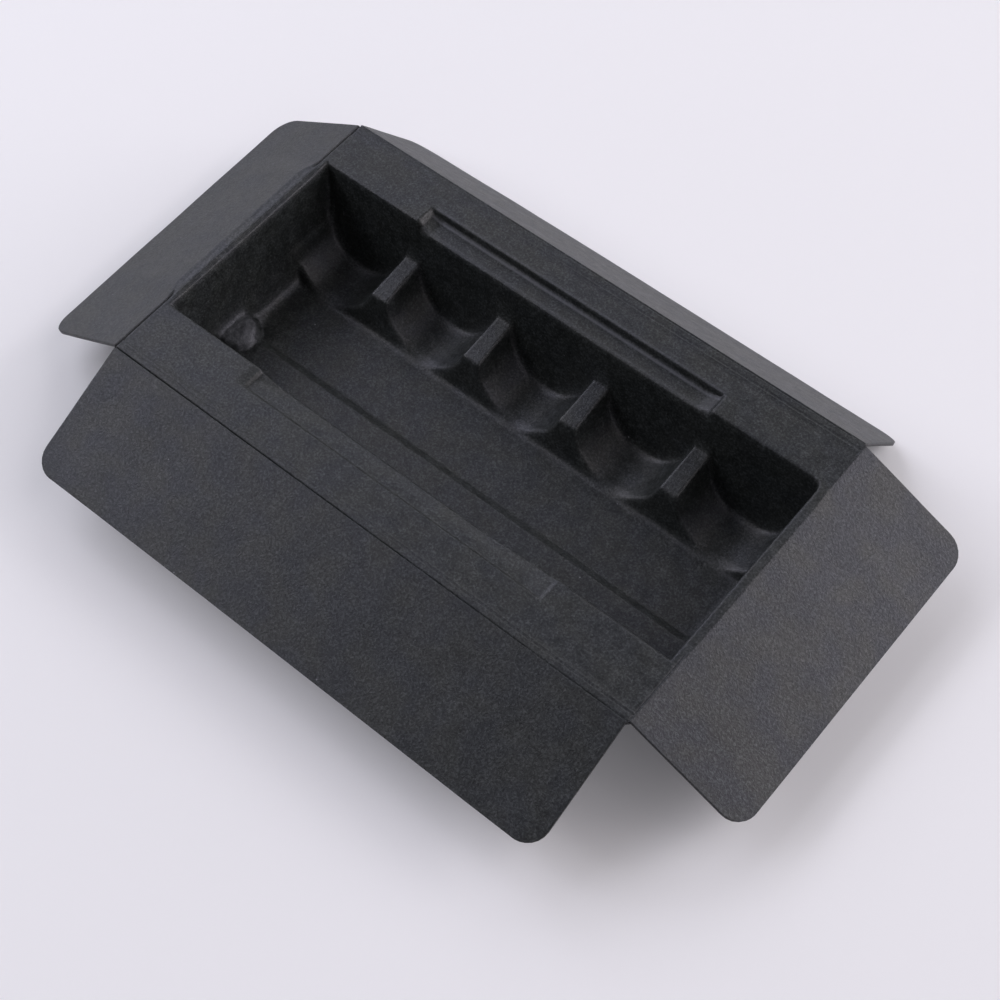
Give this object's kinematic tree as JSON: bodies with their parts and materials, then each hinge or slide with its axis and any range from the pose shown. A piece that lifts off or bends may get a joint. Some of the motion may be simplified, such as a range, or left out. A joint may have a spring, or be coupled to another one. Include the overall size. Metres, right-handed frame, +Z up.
{
  "type": "moulded pulp bottle insert",
  "caption": "Black moulded pulp tray with a row of half-round bottle saddles along its back wall, sunk strips in the rim and creased flaps that fold down as legs.",
  "frame": {"origin": "middle of the rim's length and width, on the plane that the floor of the tray rests on", "axes": "+X along the row of bottles, +Y from the front rim to the saddle side, +Z up"},
  "size_m": [0.2348, 0.1533, 0.0283],
  "materials": {
    "pulp": "matte pressed fibre"
  },
  "bodies": {
    "root": {"pulp_insert": "pulp"}
  },
  "joints": []
}
